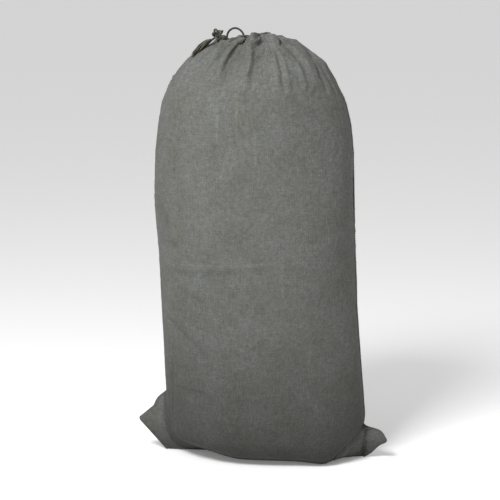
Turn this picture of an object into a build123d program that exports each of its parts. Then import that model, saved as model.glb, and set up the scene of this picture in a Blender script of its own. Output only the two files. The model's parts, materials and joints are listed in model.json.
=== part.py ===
"""A drawstring laundry bag of cotton cloth, standing full on the floor.

Two flat panels are sewn together down both sides and along the bottom. The filled
sack is an upright oval drum with a domed top. Its two bottom corners stay flat and
stick out as ears. The top edge of each panel is turned over into a casing, and one
drawcord runs round inside it. The cord comes out of two buttonholes as a loop, and
its two ends are knotted together and frayed out.

Frame: millimetres, +Z up, the floor at z = 0, the bottom seam along X, front at -Y.
"""

from build123d import *
import math
import os

# Cloth and seams
CLOTH = 1.0  # thickness of one layer of cloth
SEAM_HALF_GAP = 0.5  # half the width of the seam's edge, between the two panels
ALLOWANCE_HALF_WIDTH = 5.0  # half the width of the seam allowance inside the bag
EAR_SEAM_WIDTH = 8.0  # width of the sewn edge round each bottom corner

# The filled sack: height, centre in X, half width, half depth of each oval section
SECTIONS = [
    (0, 2, 146, 64),
    (8, 2, 160, 88),
    (22, 2, 173, 106),
    (45, 2, 180, 118),
    (80, 1.5, 182, 126),
    (130, 0.5, 182, 130),
    (193, -4, 181.5, 131),
    (287, -10, 180.5, 131),
    (381, -13, 182, 131),
    (475, -16.5, 184.5, 132),
    (568, -18, 182.5, 134),
    (618, -19, 177.5, 137),
    (658, -20, 169, 136),
    (695, -19.5, 151.5, 128),
    (731, -16, 124, 108),
    (751, -14, 99, 87),
    (762, -13, 82, 73),
]

# The flat bottom corners, as outlines in X and Z. Each starts and ends inside the sack.
LEFT_EAR = [(-134, 0), (-182, 0), (-230, 58), (-203, 84), (-178, 113), (-160, 113)]
RIGHT_EAR = [(134, 0), (187, 0), (213, 26), (230, 36), (222, 50), (206, 57), (160, 60)]
EAR_TIPS = {"left": (-230, 58), "right": (230, 36)}
EAR_ROOTS = {"left": 113, "right": 60}  # height where each ear leaves the side

# The casing: the gathered ring round the mouth, drawn in towards its top
CASING_FOOT = (751, -14, 99, 87)
CASING_TOP = (774, -12, 66, 60)
CASING_RING_WIDTH = 14.0  # from its outer face to its inner face, level
CASING_WALL_LEVEL = 1.74  # one layer of cloth, measured level through the slope

# The drawcord
CORD_RADIUS = 1.8
HOLE_RADIUS = 2.2
LOOP_FEET = [(-28.0, -51.0), (-63.5, -25.0)]  # X and Y of the two buttonholes
RUN_HEIGHT = 762.5
RUN_HALF_WIDTH = 75.4
RUN_HALF_DEPTH = 66.6
RUN_CENTRE_X = -13.0
RUN_SPLIT_ANGLE = 50.0  # where the run's end arcs meet its long arcs
RUN_START_ANGLE = 255.0  # where the run stops short of the first buttonhole
RUN_END_ANGLE = 192.0  # and of the second
LEG_FOOT = 726.0  # lowest point of the straight cord that follows the loop out
LOOP_PIVOT_HEIGHT = 776.8
LEG_TOP = LOOP_PIVOT_HEIGHT - 2.2

# The loop, in the upright plane through its feet: along the line of the feet, and up
LOOP_SPAN = math.dist(*LOOP_FEET)
LOOP_ROUTE = [
    (0.0, 0.0),
    (1.8, 7.8),
    (10.0, 15.0),
    (22.5, 18.2),
    (34.5, 14.8),
    (42.4, 7.6),
    (LOOP_SPAN, 0.0),
]

# The knot and the two frayed ends
KNOT_CENTRE = (-80.5, -25.0, 780.8)
KNOT_RADIUS = 9.2
TAIL_PIVOT = (-88.9, -25.0, 773.2)  # the cord ends swing about this point, clear of the knot
TAIL_SPACING = 4.2  # between the middles of the two cord ends
TAIL_FAR = (-101.0, -24.0, 765.4)  # where the cord ends start to fray
BRUSH_TIP = (-129.0, -20.0, 748.0)
BRUSH_ROOT_RADIUS = 3.9
BRUSH_TIP_RADIUS = 5.4

# Stitching
STITCH_PROUD = 0.6
STITCH_HEIGHT = 1.2
BUTTONHOLE_RIM = 1.8
BUTTONHOLE_HEIGHT = 0.7

BIG = 1200.0


def level_plane(height, centre_x):
    return Plane(origin=(centre_x, 0, height), z_dir=(0, 0, 1))


def inset_sections(inset):
    """The sack's sections, moved in by a distance square to its side profile."""
    moved = []
    for i, (z, x, a, b) in enumerate(SECTIONS):
        if i == 0:
            moved.append((z + inset, x, a - inset, b - inset))
            continue
        low = SECTIONS[i - 1]
        high = SECTIONS[min(i + 1, len(SECTIONS) - 1)]
        rise, spread = high[0] - low[0], high[2] - low[2]
        length = math.hypot(rise, spread)
        inward, upward = inset * rise / length, inset * spread / length
        moved.append((z + upward, x, a - inward, b - inward))
    return moved


def sack_body(inset):
    """The solid inside the sack's surface, moved in by inset, up to above the casing's foot."""
    with BuildPart() as body:
        for z, x, a, b in inset_sections(inset):
            with BuildSketch(level_plane(z, x)):
                Ellipse(a, b)
        loft()
    return body.part


def cone_body(foot, top, level_offset):
    """The solid inside a straight-sided oval cone, moved out by level_offset."""
    with BuildPart() as body:
        for z, x, a, b in (foot, top):
            with BuildSketch(level_plane(z, x)):
                Ellipse(a + level_offset, b + level_offset)
        loft()
    return body.part


def between(foot, top, height):
    """The oval section at a height between two others."""
    share = (height - foot[0]) / (top[0] - foot[0])
    return tuple(f + share * (t - f) for f, t in zip(foot, top))


def ear_plate(outline, near, far):
    """A flat bottom corner as a plate from y = near to y = far."""
    with BuildPart() as plate:
        with BuildSketch(Plane.XZ.offset(-near)):
            with BuildLine():
                Polyline(*outline, close=True)
            make_face()
        extrude(amount=near - far)
    return plate.part


def ear_edge(outline):
    """The sewn edge round a flat bottom corner, outside the sack."""
    with BuildPart() as edge:
        with BuildSketch(Plane.XZ.offset(SEAM_HALF_GAP)):
            with BuildLine():
                Polyline(*outline, close=True)
            make_face()
            offset(amount=-EAR_SEAM_WIDTH, kind=Kind.INTERSECTION, mode=Mode.SUBTRACT)
        extrude(amount=-2 * SEAM_HALF_GAP)
        add(OUTER_SACK, mode=Mode.SUBTRACT)
    return edge.part


def panel(side):
    """One cloth panel: half of the sack's wall and one layer of both ears. side is -1 in front."""
    near, far = side * SEAM_HALF_GAP, side * (SEAM_HALF_GAP + CLOTH)
    with BuildPart() as wall:
        add(OUTER_SACK)
        add(INNER_SACK, mode=Mode.SUBTRACT)
        with Locations((0, side * (BIG / 2 + SEAM_HALF_GAP), CASING_FOOT[0] - BIG / 2)):
            Box(BIG, BIG, BIG, mode=Mode.INTERSECT)
        for outline in (LEFT_EAR, RIGHT_EAR):
            add(ear_plate(outline, near, far) - INNER_SACK)
    return wall.part


def seam_ring():
    """The sewn edges of both panels and their allowance, all round the inside of the sack."""
    with BuildPart() as edge:
        add(OUTER_SACK)
        add(ALLOWANCE_SACK, mode=Mode.SUBTRACT)
        Box(BIG, 2 * SEAM_HALF_GAP, 2 * BIG, mode=Mode.INTERSECT)
    with BuildPart() as allowance:
        add(INNER_SACK)
        add(ALLOWANCE_SACK, mode=Mode.SUBTRACT)
        Box(BIG, 2 * ALLOWANCE_HALF_WIDTH, 2 * BIG, mode=Mode.INTERSECT)
    return edge.part + allowance.part


def side_seam(name, outline, sign):
    """The seam down one side, and round its ear to the tip."""
    root = EAR_ROOTS[name]
    with BuildPart() as seam:
        add(SEAM_RING)
        with Locations((sign * BIG / 2, 0, (root - 8 + CASING_FOOT[0]) / 2)):
            Box(BIG, BIG, CASING_FOOT[0] - root + 8, mode=Mode.INTERSECT)
    with BuildPart() as corner:
        add(ear_edge(outline))
        with Locations((sign * BIG / 2, 0, EAR_TIPS[name][1] + BIG / 2)):
            Box(BIG, BIG, BIG, mode=Mode.INTERSECT)
    return seam.part + corner.part


def bottom_seam_parts():
    """The seam along the bottom, and up the lower edge of each ear to its tip."""
    with BuildPart() as seam:
        add(SEAM_RING)
        with Locations((SECTIONS[0][1], 0, 0)):
            Box(2 * SECTIONS[0][2], BIG, 8, mode=Mode.INTERSECT)
    with BuildPart() as corners:
        for name, outline, sign in (("left", LEFT_EAR, -1), ("right", RIGHT_EAR, 1)):
            with BuildPart(mode=Mode.PRIVATE) as corner:
                add(ear_edge(outline))
                with Locations((sign * BIG / 2, 0, EAR_TIPS[name][1] - BIG / 2)):
                    Box(BIG, BIG, BIG, mode=Mode.INTERSECT)
            add(corner.part)
    return seam.part + corners.part


def casing_half(side):
    """Half of the turned-over hem, hollow for the drawcord. side is -1 in front."""
    mouth_foot = (CASING_FOOT[0], CASING_FOOT[1], *(r - CASING_RING_WIDTH for r in CASING_FOOT[2:]))
    mouth_top = (CASING_TOP[0], CASING_TOP[1], *(r - CASING_RING_WIDTH for r in CASING_TOP[2:]))
    low, high = CASING_FOOT[0] + CLOTH, CASING_TOP[0] - CLOTH
    channel = cone_body(
        between(CASING_FOOT, CASING_TOP, low),
        between(CASING_FOOT, CASING_TOP, high),
        -CASING_WALL_LEVEL,
    ) - cone_body(
        between(mouth_foot, mouth_top, low - CLOTH / 2),
        between(mouth_foot, mouth_top, high + CLOTH / 2),
        CASING_WALL_LEVEL,
    )
    with BuildPart() as hem:
        add(cone_body(CASING_FOOT, CASING_TOP, 0))
        add(cone_body(mouth_foot, mouth_top, 0), mode=Mode.SUBTRACT)
        add(channel, mode=Mode.SUBTRACT)
        with Locations([(x, y, CASING_TOP[0]) for x, y in LOOP_FEET]):
            Cylinder(HOLE_RADIUS, 4 * (CASING_TOP[0] - CASING_FOOT[0]), mode=Mode.SUBTRACT)
        with Locations((0, side * BIG / 2, CASING_TOP[0])):
            Box(BIG, BIG, BIG, mode=Mode.INTERSECT)
    return hem.part


def corner_radii(points):
    """The arc at each inner corner of a cord's route: as large as its two runs allow."""
    radii = []
    for before, here, after in zip(points, points[1:], points[2:]):
        incoming, outgoing = Vector(*here) - Vector(*before), Vector(*after) - Vector(*here)
        half_turn = math.radians(incoming.get_angle(outgoing)) / 2
        radii.append(0.45 * min(incoming.length, outgoing.length) / math.tan(half_turn))
    return radii


# The sack, its inner face, and the inner face of the seam allowance
OUTER_SACK = sack_body(0)
INNER_SACK = sack_body(CLOTH)
ALLOWANCE_SACK = sack_body(2 * CLOTH)
SEAM_RING = seam_ring()

# Cloth panels
with BuildPart() as front_panel:
    add(panel(-1))

with BuildPart() as back_panel:
    add(panel(1))

# Seams
with BuildPart() as left_side_seam:
    add(side_seam("left", LEFT_EAR, -1))

with BuildPart() as right_side_seam:
    add(side_seam("right", RIGHT_EAR, 1))

with BuildPart() as bottom_seam:
    add(bottom_seam_parts())

# The casing round the mouth
with BuildPart() as front_casing:
    add(casing_half(-1))

with BuildPart() as back_casing:
    add(casing_half(1))

with BuildPart() as hem_stitching:
    stitch_top = CASING_FOOT[0] + STITCH_HEIGHT
    add(cone_body(CASING_FOOT, between(CASING_FOOT, CASING_TOP, stitch_top), STITCH_PROUD))
    add(cone_body(CASING_FOOT, CASING_TOP, 0), mode=Mode.SUBTRACT)

with BuildPart() as cord_buttonholes:
    with BuildSketch(Plane.XY.offset(CASING_TOP[0])):
        with Locations(*LOOP_FEET):
            Circle(HOLE_RADIUS + BUTTONHOLE_RIM)
            Circle(HOLE_RADIUS, mode=Mode.SUBTRACT)
    extrude(amount=BUTTONHOLE_HEIGHT)

# The drawcord inside the casing: an oval of four arcs, open between the buttonholes
split = math.radians(RUN_SPLIT_ANGLE)
centre_gap = (RUN_HALF_WIDTH - RUN_HALF_DEPTH) / (math.sin(split) + math.cos(split) - 1)
end_offset, long_offset = centre_gap * math.cos(split), centre_gap * math.sin(split)
end_radius, long_radius = RUN_HALF_WIDTH - end_offset, RUN_HALF_DEPTH + long_offset
with BuildPart() as drawcord:
    with BuildLine(level_plane(RUN_HEIGHT, RUN_CENTRE_X)) as run:
        front_turn = 360 - RUN_SPLIT_ANGLE - RUN_START_ANGLE
        long_turn = 180 - 2 * RUN_SPLIT_ANGLE
        end_turn = RUN_END_ANGLE - 180 + RUN_SPLIT_ANGLE
        front = CenterArc((0, long_offset), long_radius, RUN_START_ANGLE, front_turn)
        CenterArc((end_offset, 0), end_radius, -RUN_SPLIT_ANGLE, 2 * RUN_SPLIT_ANGLE)
        CenterArc((0, -long_offset), long_radius, RUN_SPLIT_ANGLE, long_turn)
        CenterArc((-end_offset, 0), end_radius, 180 - RUN_SPLIT_ANGLE, end_turn)
    with BuildSketch(Plane(origin=front @ 0, z_dir=front % 0)):
        Circle(CORD_RADIUS)
    sweep(path=run.line)

# The straight cord below the loop, which follows it out of the buttonholes
with BuildPart() as drawcord_legs:
    with BuildSketch(Plane.XY.offset(LEG_FOOT)):
        with Locations(*LOOP_FEET):
            Circle(CORD_RADIUS)
    extrude(amount=LEG_TOP - LEG_FOOT)

# The loop that stands out of the mouth
first_foot = Vector(*LOOP_FEET[0], LOOP_PIVOT_HEIGHT)
foot_line = Vector(*LOOP_FEET[1], LOOP_PIVOT_HEIGHT) - first_foot
loop_plane = Plane(origin=first_foot, x_dir=foot_line, z_dir=foot_line.cross(Vector(0, 0, 1)))
loop_radii = corner_radii(LOOP_ROUTE)
with BuildPart() as drawcord_loop:
    with BuildLine(loop_plane) as loop_path:
        FilletPolyline(*LOOP_ROUTE, radius=loop_radii)
    with BuildSketch(Plane(origin=loop_path.line @ 0, z_dir=loop_path.line % 0)):
        Circle(CORD_RADIUS)
    sweep(path=loop_path.line)

# The knot: two turns of cord pulled tight round a core
with BuildPart() as knot:
    with Locations(KNOT_CENTRE):
        Sphere(0.8 * KNOT_RADIUS)
    with Locations(Location(KNOT_CENTRE, (70, 0, 20))):
        Torus(0.7 * KNOT_RADIUS, 0.3 * KNOT_RADIUS)
    with Locations(Location(Vector(*KNOT_CENTRE) + Vector(1.5, 0.7, 1.0), (15, 55, 10))):
        Torus(0.62 * KNOT_RADIUS, 0.31 * KNOT_RADIUS)

# The two cord ends side by side, from the knot to where they fray
with BuildPart() as cord_ends:
    tail_line = Vector(*TAIL_FAR) - Vector(*TAIL_PIVOT)
    tail_plane = Plane(origin=TAIL_PIVOT, x_dir=(0, 1, 0), z_dir=tail_line)
    with BuildSketch(tail_plane):
        with GridLocations(TAIL_SPACING, 0, 2, 1):
            Circle(CORD_RADIUS)
    extrude(amount=tail_line.length)

# The frayed ends as one brush, spreading towards its tip
with BuildPart() as frayed_ends:
    brush_line = Vector(*BRUSH_TIP) - Vector(*TAIL_FAR)
    brush_start = Vector(*TAIL_FAR) + brush_line.normalized() * 1.5
    with BuildSketch(Plane(origin=brush_start, x_dir=(0, 1, 0), z_dir=brush_line)):
        Ellipse(BRUSH_ROOT_RADIUS + 0.8, BRUSH_ROOT_RADIUS - 0.8)
    with BuildSketch(Plane(origin=BRUSH_TIP, x_dir=(0, 1, 0), z_dir=brush_line)):
        Circle(BRUSH_TIP_RADIUS)
    loft()

PIECES = {
    "front_panel": front_panel,
    "back_panel": back_panel,
    "left_side_seam": left_side_seam,
    "right_side_seam": right_side_seam,
    "bottom_seam": bottom_seam,
    "front_casing": front_casing,
    "back_casing": back_casing,
    "hem_stitching": hem_stitching,
    "cord_buttonholes": cord_buttonholes,
    "drawcord": drawcord,
    "drawcord_legs": drawcord_legs,
    "drawcord_loop": drawcord_loop,
    "knot": knot,
    "cord_ends": cord_ends,
    "frayed_ends": frayed_ends,
}

os.makedirs("parts", exist_ok=True)
for label, piece in PIECES.items():
    piece.part.label = label
    export_step(piece.part, f"parts/{label}.step")

print("loop corner radii, mm:", [round(r, 1) for r in loop_radii])
print("loop length, mm:", round(sum(e.length for e in loop_path.line.edges()), 1))
print("length of the run in the casing, mm:", round(sum(e.length for e in run.line.edges()), 1))
section = math.pi * CORD_RADIUS**2
for name, piece in (("drawcord", drawcord), ("drawcord_loop", drawcord_loop)):
    print(name, "volume over section, mm:", round(piece.part.volume / section, 1))
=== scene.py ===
"""The looks of the laundry bag, built round its CAD frame, in metres."""
import json
import math

import bmesh
import bpy
import numpy as np
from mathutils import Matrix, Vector
from mathutils.bvhtree import BVHTree

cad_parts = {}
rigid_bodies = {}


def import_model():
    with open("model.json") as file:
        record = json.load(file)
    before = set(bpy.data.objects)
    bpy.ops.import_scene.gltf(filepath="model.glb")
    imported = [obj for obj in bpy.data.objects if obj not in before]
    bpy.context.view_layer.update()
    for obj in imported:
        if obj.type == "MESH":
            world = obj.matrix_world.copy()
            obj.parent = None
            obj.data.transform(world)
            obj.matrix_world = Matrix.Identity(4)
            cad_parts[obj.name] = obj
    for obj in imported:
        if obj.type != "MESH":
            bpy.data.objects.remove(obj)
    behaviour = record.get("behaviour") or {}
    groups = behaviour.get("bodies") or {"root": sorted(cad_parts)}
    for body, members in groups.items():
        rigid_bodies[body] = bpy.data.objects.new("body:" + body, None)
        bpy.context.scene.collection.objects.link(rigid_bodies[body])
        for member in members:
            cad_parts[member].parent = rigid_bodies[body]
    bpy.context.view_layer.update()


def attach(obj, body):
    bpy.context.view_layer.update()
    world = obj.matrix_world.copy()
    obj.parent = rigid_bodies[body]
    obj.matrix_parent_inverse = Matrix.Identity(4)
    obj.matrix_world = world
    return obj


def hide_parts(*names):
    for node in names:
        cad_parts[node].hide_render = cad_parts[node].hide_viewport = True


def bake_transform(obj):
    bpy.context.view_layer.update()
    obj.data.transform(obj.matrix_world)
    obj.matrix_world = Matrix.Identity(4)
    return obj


for leftover in list(bpy.data.objects):
    bpy.data.objects.remove(leftover)
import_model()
scene = bpy.context.scene

# The filled sack under the cloth: height, centre in X, half width, half depth
SECTIONS = np.array([
    (0.0012, 0.002, 0.140, 0.046),
    (0.008, 0.002, 0.157, 0.072),
    (0.020, 0.002, 0.170, 0.098),
    (0.042, 0.0035, 0.1815, 0.114),
    (0.080, 0.0040, 0.1855, 0.125),
    (0.130, 0.0020, 0.1845, 0.129),
    (0.193, -0.0025, 0.1830, 0.130),
    (0.287, -0.0105, 0.1812, 0.131),
    (0.381, -0.0130, 0.1820, 0.131),
    (0.475, -0.0160, 0.1842, 0.132),
    (0.568, -0.0175, 0.1818, 0.134),
    (0.620, -0.0180, 0.1760, 0.136),
    (0.662, -0.0190, 0.1675, 0.135),
    (0.700, -0.0190, 0.1480, 0.125),
    (0.735, -0.0150, 0.1180, 0.101),
    (0.755, -0.0150, 0.0885, 0.076),
    (0.769, -0.0140, 0.0630, 0.055),
    (0.780, -0.0120, 0.0470, 0.042),
])
SHOULDER = 0.568  # above this height the cloth is gathered towards the mouth
FOLDS_START = 0.655  # the folds fade out at this height
GIRTH = 1.0  # round the cloth tube
MOUTH_SLACK = 1.25  # cloth in the folds round the mouth, as a share of the section's own girth
CELL = 0.006  # spacing of the simulated cloth's points
FINE_CELL = CELL / 2  # spacing of the finished cloth's points
CLOTH = 0.0011  # thickness of the cotton
FLOOR_GAP = 0.0012  # the outer face of the cloth stays this high over the floor
BASE_ROWS = 9  # rows of cloth from the bottom seam out to the first ring
HEM = 0.022  # height of the casing
LIP = 0.0021  # radius of the soft fold at the rim
EAR_TOP = 0.125  # both ears end below this height

# The flat corners, as outlines in X and Z
LEFT_EAR = [(-0.183, 0.0), (-0.237, 0.059), (-0.207, 0.085), (-0.204, 0.094), (-0.197, 0.1035),
            (-0.182, 0.1155)]
RIGHT_EAR = [(0.189, 0.0), (0.2030, 0.010), (0.217, 0.0255), (0.2335, 0.036), (0.2240, 0.0500),
             (0.2110, 0.0575), (0.1950, 0.0600)]
EAR_TURN = math.radians(27)  # how far round the section an ear's foot reaches
FULL_EAR = 0.03  # an ear at least this wide has its whole foot

# The folds that run down from the mouth: the angle at the mouth and the angle where they fade, in
# degrees from the front towards +X, then depth, width, and how far down they reach, 0 to 1
VALLEYS = [
    (-152, -148, 0.8, 1.0, 0.8),
    (-122, -114, 0.8, 1.1, 0.8),
    (-97, -99, 0.7, 0.9, 0.7),
    (-76, -80, 0.7, 0.7, 0.5),
    (-54, -46, 0.8, 0.8, 0.3),
    (-35, -28, 0.8, 0.7, 0.2),
    (-13, -15, 1.2, 0.85, 0.4),
    (19, 2, 1.25, 1.15, 0.1),
    (50, 50, 1.0, 0.5, 0.0),
    (72, 64, 0.3, 0.5, 0.4),
    (97, 94, 0.6, 0.9, 0.5),
    (121, 118, 0.8, 1.0, 0.8),
    (152, 148, 0.8, 1.0, 0.9),
    (182, 180, 0.9, 1.0, 0.9),
]
FOLD_ANGLE = 4.5  # half width in degrees of a fold of width 1 where it fades; twice that at the mouth
# Deeper furrows in the front of the dome: the angle at the mouth and the angle where the folds
# fade, depth, half width, and the furrow's middle and half length as shares of the way up
FURROWS = [
    (-11, -18, 0.0048, 0.0062, 0.69, 0.19),
    (-41, -9, 0.0036, 0.0056, 0.77, 0.14),
    (-58, 0, 0.0030, 0.0058, 0.78, 0.13),
    (34, -46, 0.0036, 0.0065, 0.76, 0.12),
    (-22, -22, 0.0020, 0.0045, 0.92, 0.05),
    (76, -14, 0.0016, 0.0040, 0.76, 0.12),
    (17, -80, 0.0056, 0.0085, 0.890, 0.058),
]
SHADED_DEPTH = 0.002  # furrows deeper than this get painted shade in their colour
FURROW_SHADE = 150  # how fast that painted shade darkens them with each further metre of depth
# Height of the rim round the mouth, by angle
RIM = [(-110, 0.772), (-75, 0.774), (-52, 0.777), (-26, 0.781), (-6, 0.788), (15, 0.787), (33, 0.786),
       (60, 0.779), (80, 0.770), (110, 0.772), (180, 0.784)]
RIM_ARCH = 0.004  # how much lower the rim is in a fold than on the lips beside it

# Folds (wide) and sharp old packing creases (narrow) in the front panel: the two ends in X and Z,
# the height, negative for a groove, and the half width
CREASES = [
    ((-0.172, 0.272), (-0.086, 0.205), -0.0030, 0.0060),
    ((-0.160, 0.288), (-0.072, 0.222), 0.0026, 0.0080),
    ((-0.148, 0.334), (-0.084, 0.298), -0.0024, 0.0060),
    ((-0.152, 0.140), (-0.086, 0.136), -0.0026, 0.0060),
    ((-0.150, 0.122), (-0.084, 0.118), 0.0026, 0.0080),
    ((-0.180, 0.410), (-0.142, 0.404), -0.0020, 0.0060),
    ((-0.158, 0.192), (-0.162, 0.061), -0.0026, 0.0036),
    ((-0.153, 0.190), (-0.157, 0.070), 0.0012, 0.0040),
    ((-0.172, 0.045), (-0.169, 0.135), -0.0016, 0.0042),
    ((0.197, 0.060), (0.186, 0.002), -0.0065, 0.0030),
    ((0.181, 0.052), (0.130, 0.000), -0.0042, 0.0042),
    ((0.192, 0.046), (0.158, 0.002), 0.0035, 0.0065),
    ((-0.0405, 0.620), (-0.0380, 0.546), 0.0006, 0.0022),
    ((0.0036, 0.612), (0.0034, 0.554), 0.0005, 0.0022),
    ((-0.0652, 0.662), (-0.0640, 0.598), 0.0004, 0.0022),
    ((-0.0304, 0.700), (-0.0288, 0.606), 0.0004, 0.0022),
    ((-0.0660, 0.537), (-0.0230, 0.537), 0.0004, 0.0022),
    ((0.0501, 0.408), (0.0522, 0.318), 0.0004, 0.0022),
    ((0.0999, 0.234), (0.0994, 0.198), 0.0004, 0.0022),
    ((-0.1750, 0.3700), (0.0520, 0.3840), 0.0006, 0.0026),
    ((-0.1750, 0.3540), (-0.0060, 0.3680), -0.0016, 0.0060),
    ((0.0100, 0.150), (0.0900, 0.112), 0.0016, 0.0080),
    ((0.1550, 0.430), (0.1000, 0.395), 0.0014, 0.0080),
    ((-0.1300, 0.560), (-0.0700, 0.600), 0.0013, 0.0090),
    ((0.0600, 0.640), (0.1150, 0.580), 0.0012, 0.0090),
]
SHARP = 0.003  # raised creases narrower than this are worn pale


# Materials
class Nodes:
    """Short calls for building one material's node tree."""

    def __init__(self, name, roughness, sheen=0.0):
        self.material = bpy.data.materials.new(name)
        self.material.use_nodes = True
        self.tree = self.material.node_tree
        self.shader = self.tree.nodes["Principled BSDF"]
        self.shader.inputs["Roughness"].default_value = roughness
        self.shader.inputs["Specular IOR Level"].default_value = 0.25
        self.shader.inputs["Sheen Weight"].default_value = sheen
        self.shader.inputs["Sheen Roughness"].default_value = 0.45

    def put(self, socket, value):
        """A link from another node, or a plain value."""
        if isinstance(value, bpy.types.NodeSocket):
            self.tree.links.new(value, socket)
        elif isinstance(value, tuple) and len(value) == 3 and socket.type == "RGBA":
            socket.default_value = (*value, 1)
        else:
            socket.default_value = value

    def node(self, kind, output, settings=None, **inputs):
        """One output of a new node; an input's name has _ for each space."""
        made = self.tree.nodes.new(kind)
        for key, value in (settings or {}).items():
            setattr(made, key, value)
        for key, value in inputs.items():
            self.put(made.inputs[key.replace("_", " ")], value)
        return made.outputs[output]

    def math(self, operation, a, b=0.0):
        """Arithmetic on one or two values."""
        made = self.tree.nodes.new("ShaderNodeMath")
        made.operation = operation
        self.put(made.inputs[0], a)
        self.put(made.inputs[1], b)
        return made.outputs[0]

    def scaled(self, vector, x, y, z=1.0):
        """Coordinates stretched along each axis."""
        made = self.tree.nodes.new("ShaderNodeMapping")
        self.put(made.inputs["Vector"], vector)
        made.inputs["Scale"].default_value = (x, y, z)
        return made.outputs["Vector"]

    def noise(self, vector, scale, detail=3.0, roughness=0.55):
        """Cloudy noise about 0.5."""
        return self.node("ShaderNodeTexNoise", "Fac", Vector=vector, Scale=scale, Detail=detail,
                         Roughness=roughness)

    def span(self, value, low, high, to_low, to_high):
        """A value's range from low to high, turned into another range."""
        return self.node("ShaderNodeMapRange", "Result", Value=value, From_Min=low, From_Max=high,
                         To_Min=to_low, To_Max=to_high)

    def mix(self, factor, one, two):
        """A colour between two others."""
        made = self.tree.nodes.new("ShaderNodeMix")
        made.data_type = "RGBA"
        self.put(made.inputs["Factor"], factor)
        self.put(made.inputs["A"], one)
        self.put(made.inputs["B"], two)
        return made.outputs["Result"]

    def brightness(self, color, value):
        """A colour made lighter or darker by a factor."""
        made = self.tree.nodes.new("ShaderNodeVectorMath")
        made.operation = "SCALE"
        self.put(made.inputs["Vector"], color)
        self.put(made.inputs["Scale"], value)
        return made.outputs["Vector"]

    def bump(self, height, distance, strength=1.0, normal=None):
        """A normal that makes a pattern look raised, on top of another one."""
        made = self.tree.nodes.new("ShaderNodeBump")
        made.inputs["Strength"].default_value = strength
        made.inputs["Distance"].default_value = distance
        self.put(made.inputs["Height"], height)
        if normal:
            self.put(made.inputs["Normal"], normal)
        return made.outputs["Normal"]

    def attribute(self, name):
        """A number that the mesh holds at each point."""
        return self.node("ShaderNodeAttribute", "Fac", {"attribute_name": name})

    def threads(self):
        """Metres of cloth or cord along the threads."""
        return self.node("ShaderNodeUVMap", "UV", {"uv_map": "threads"})

    def where(self):
        """Metres from the origin of the frame."""
        return self.node("ShaderNodeTexCoord", "Object")

    def wave(self, vector, scale, direction, distortion=0.0):
        """Smooth bands, like yarns side by side."""
        return self.node("ShaderNodeTexWave", "Fac", {"wave_type": "BANDS", "bands_direction": direction},
                         Vector=vector, Scale=scale, Distortion=distortion, Detail=1.0)


THREAD_PITCH = 0.00055  # between the yarns of the cotton
COTTON_WARM, COTTON_COOL = (0.112, 0.1125, 0.0995), (0.106, 0.109, 0.1035)
# The colour of worn creases, and the painted shade that darkens grooves and furrows
COTTON_WORN, COTTON_PAINTED_SHADE = (0.200, 0.200, 0.183), (0.060, 0.061, 0.055)
CORD_DARK, CORD_PALE = (0.024, 0.026, 0.019), (0.105, 0.110, 0.080)
YARN_DARK, YARN_FADED = (0.020, 0.021, 0.013), (0.225, 0.215, 0.145)
THREAD_OLIVE = (0.088, 0.091, 0.079)
BRAID_LEAN = 38  # degrees between the cord's strands and its length


def cotton():
    """Washed olive-grey cotton: a plain weave of uneven yarns, blotched, with pale worn creases, painted
    shade towards the floor and in grooves, and painted light on the ears.
    """
    n = Nodes("olive_cotton", 0.92, sheen=0.03)
    threads, where = n.threads(), n.where()
    yarns = 1 / (THREAD_PITCH * 20)
    weave = n.math("MULTIPLY", n.wave(threads, yarns, "X", 0.6), n.wave(threads, yarns, "Y", 0.6))
    slub_up = n.noise(n.scaled(threads, 520, 34), 1.0, 2.0)
    slub_across = n.noise(n.scaled(threads, 34, 520), 1.0, 2.0)
    slub = n.math("ADD", slub_up, slub_across)
    fleck = n.noise(where, 330, 2.0, 0.6)
    mottle = n.noise(where, 120, 4.0, 0.65)
    blotch = n.noise(where, 16, 4.0, 0.6)
    cloud = n.noise(where, 4.5, 2.0)
    height = n.node("ShaderNodeSeparateXYZ", "Z", Vector=where)
    tone = n.span(slub, 0.65, 1.35, 0.84, 1.16)
    # Each pattern from its low to its high value, and how dark and how pale it makes the cloth
    for pattern, low, high, darkest, palest in (
        (weave, 0.0, 1.0, 0.90, 1.08),
        (fleck, 0.3, 0.7, 0.80, 1.20),
        (mottle, 0.3, 0.7, 0.84, 1.16),
        (blotch, 0.3, 0.7, 0.87, 1.13),
        (cloud, 0.3, 0.7, 0.96, 1.04),
        (height, 0.0, 0.55, 0.83, 1.0),  # painted shade, darker and darker towards the floor, in this ramp and the next two
        (height, 0.0, 0.26, 0.44, 1.0),
        (height, 0.0, 0.05, 0.70, 1.0),
        # painted light: the ears and the cloth pulled flat beside them are made paler
        (n.attribute("ear"), 0.0, 1.0, 1.0, 1.75),
    ):
        tone = n.math("MULTIPLY", tone, n.span(pattern, low, high, darkest, palest))
    hue = n.mix(n.span(blotch, 0.35, 0.65, 0.0, 1.0), COTTON_WARM, COTTON_COOL)
    wear_and_painted_shade = n.math("MULTIPLY", n.attribute("wear_and_painted_shade"), n.span(mottle, 0.25, 0.75, 0.35, 1.0))
    # Worn creases turn paler; grooves and furrows take painted shade
    for sign, strength, ending in ((1.0, 0.30, COTTON_WORN), (-1.0, 0.6, COTTON_PAINTED_SHADE)):
        share = n.math("MAXIMUM", n.math("MULTIPLY", wear_and_painted_shade, sign), 0.0)
        hue = n.mix(n.math("MULTIPLY", share, strength), hue, ending)
    n.put(n.shader.inputs["Base Color"], n.brightness(hue, tone))
    n.put(n.shader.inputs["Roughness"], n.span(mottle, 0.3, 0.7, 0.86, 0.97))
    soft = n.bump(mottle, 0.0012, 0.5)
    lumps = n.bump(slub, 0.0005, 0.6, soft)
    n.put(n.shader.inputs["Normal"], n.bump(weave, 0.00018, 0.7, lumps))
    return n.material


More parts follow.
